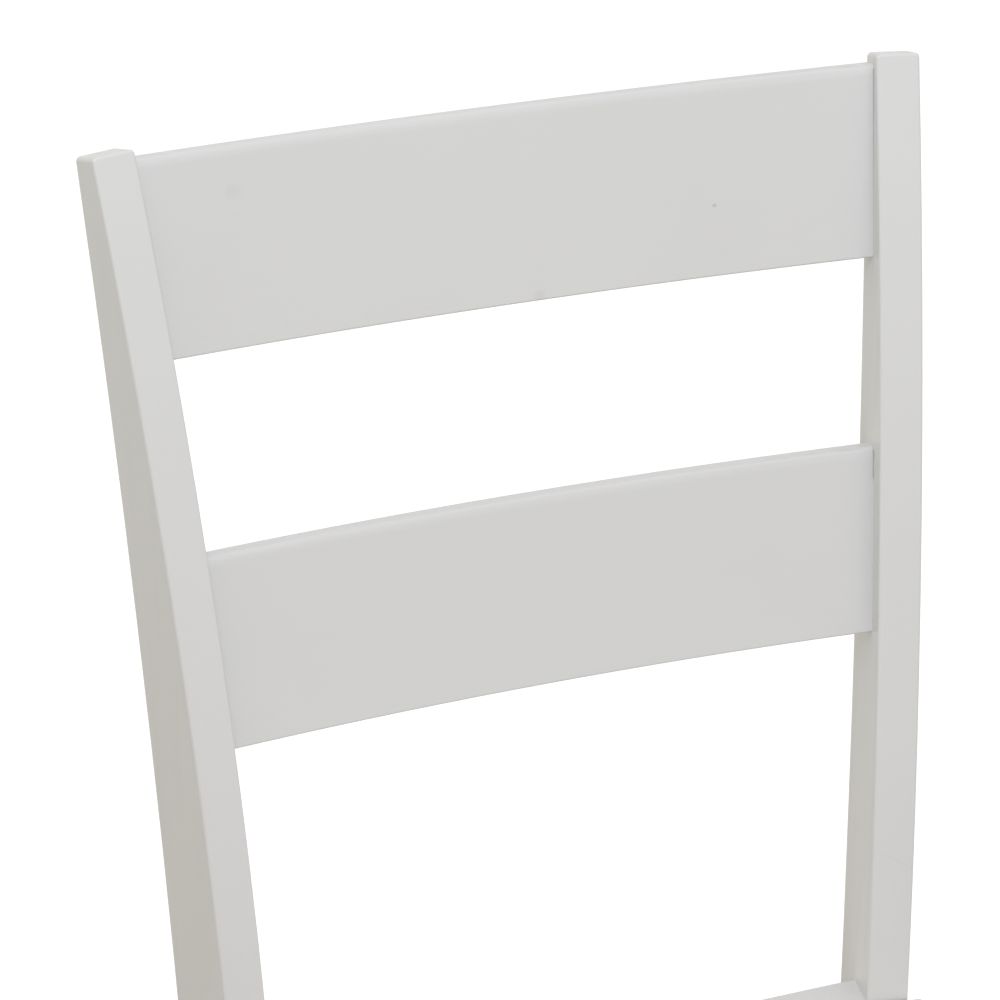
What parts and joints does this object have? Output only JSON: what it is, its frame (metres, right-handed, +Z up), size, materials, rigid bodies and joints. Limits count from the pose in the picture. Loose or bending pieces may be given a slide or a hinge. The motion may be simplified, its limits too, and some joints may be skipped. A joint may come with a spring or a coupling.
{
  "type": "wooden dining chair",
  "caption": "White painted wooden dining chair: curved rear posts, bent ladder-back slats, flat seat, tapered front legs and an H of low stretchers.",
  "frame": {"origin": "on the floor, under the middle of the chair's overall box", "axes": "+Z up, the front of the chair faces -Y, +X is to the right as seen from the front"},
  "size_m": [0.437, 0.5132, 0.9422],
  "materials": {
    "white_paint": "satin white paint",
    "bare_beech": "unfinished",
    "zinc_steel": "zinc plated",
    "white_nylon": "matte"
  },
  "bodies": {
    "root": {"corner_block_screws": "zinc_steel", "cross_stretcher": "white_paint", "front_rail": "white_paint", "front_rail_dowels": "bare_beech", "glide_nails": "zinc_steel", "left_front_corner_block": "bare_beech", "left_front_glide": "white_nylon", "left_front_leg": "white_paint", "left_rear_corner_block": "bare_beech", "left_rear_glide": "white_nylon", "left_rear_post": "white_paint", "left_side_rail": "white_paint", "left_side_stretcher": "white_paint", "lower_slat": "white_paint", "rear_rail": "white_paint", "rear_rail_dowels": "bare_beech", "right_front_corner_block": "bare_beech", "right_front_glide": "white_nylon", "right_front_leg": "white_paint", "right_rear_corner_block": "bare_beech", "right_rear_glide": "white_nylon", "right_rear_post": "white_paint", "right_side_rail": "white_paint", "right_side_stretcher": "white_paint", "seat_panel": "white_paint", "seat_screws": "zinc_steel", "side_rail_front_dowels": "bare_beech", "side_rail_rear_dowels": "bare_beech", "upper_slat": "white_paint"}
  },
  "joints": []
}
